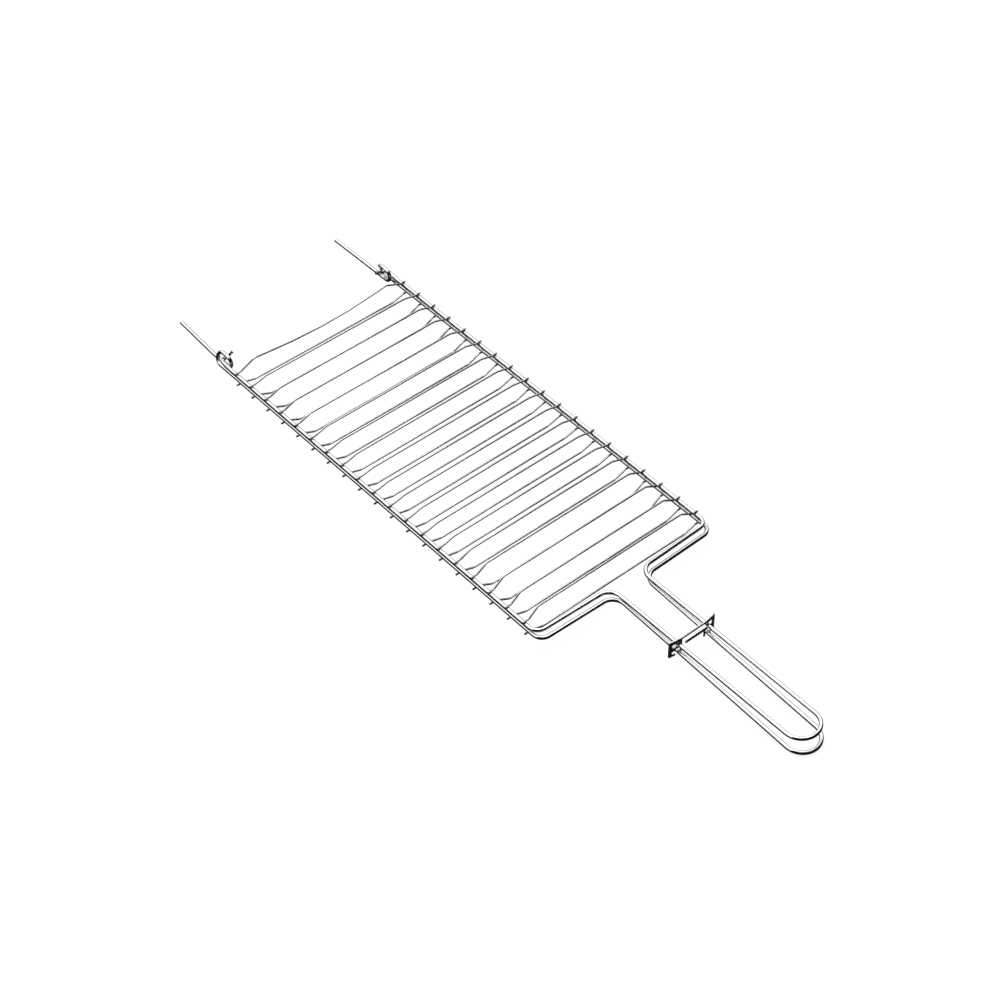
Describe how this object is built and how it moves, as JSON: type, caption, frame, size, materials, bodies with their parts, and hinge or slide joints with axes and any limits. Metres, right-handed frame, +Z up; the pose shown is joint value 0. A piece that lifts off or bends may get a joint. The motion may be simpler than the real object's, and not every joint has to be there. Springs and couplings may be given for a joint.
{
  "type": "grill basket",
  "caption": "Flat hinged double-leaf wire basket that holds fish over a grill, with a long looped handle, a sliding lock clip and support rods.",
  "frame": {"origin": "middle of the bounding box's bottom face, with the basket lying closed and its handle along +X", "axes": "+X from the hinges to the handle's free end, +Y across the basket, +Z up out of the upper leaf"},
  "size_m": [0.802, 0.218, 0.0306],
  "materials": {
    "frame_wire": "bright plated round steel wire",
    "cross_wire": "bright plated thin steel wire",
    "sheet_steel": "plated sheet steel, sheared and punched"
  },
  "bodies": {
    "lower_leaf": {"lower_frame": "frame_wire", "lower_wire_01": "cross_wire", "lower_wire_02": "cross_wire", "lower_wire_03": "cross_wire", "lower_wire_04": "cross_wire", "lower_wire_05": "cross_wire", "lower_wire_06": "cross_wire", "lower_wire_07": "cross_wire", "lower_wire_08": "cross_wire", "lower_wire_09": "cross_wire", "lower_wire_10": "cross_wire", "lower_wire_11": "cross_wire", "lower_wire_12": "cross_wire", "lower_wire_13": "cross_wire", "lower_wire_14": "cross_wire", "lower_wire_15": "cross_wire", "lower_wire_16": "cross_wire", "lower_wire_17": "cross_wire", "lower_wire_18": "cross_wire", "lower_wire_19": "cross_wire"},
    "upper_leaf": {"upper_frame": "frame_wire", "upper_wire_01": "cross_wire", "upper_wire_02": "cross_wire", "upper_wire_03": "cross_wire", "upper_wire_04": "cross_wire", "upper_wire_05": "cross_wire", "upper_wire_06": "cross_wire", "upper_wire_07": "cross_wire", "upper_wire_08": "cross_wire", "upper_wire_09": "cross_wire", "upper_wire_10": "cross_wire", "upper_wire_11": "cross_wire", "upper_wire_12": "cross_wire", "upper_wire_13": "cross_wire", "upper_wire_14": "cross_wire", "upper_wire_15": "cross_wire", "upper_wire_16": "cross_wire", "upper_wire_17": "cross_wire", "upper_wire_18": "cross_wire", "upper_wire_19": "cross_wire"},
    "clip": {"lock_clip": "sheet_steel"}
  },
  "joints": [
    {"name": "leaf_hinge", "type": "hinge", "parent": "lower_leaf", "child": "upper_leaf", "pos_m": [-0.32195, 0, 0.0208], "axis": [0, -1, 0], "range_deg": [0, 120]},
    {"name": "clip_slide", "type": "slide", "parent": "upper_leaf", "child": "clip", "axis": [1, 0, 0], "range_m": [-0.045, 0.125]}
  ]
}
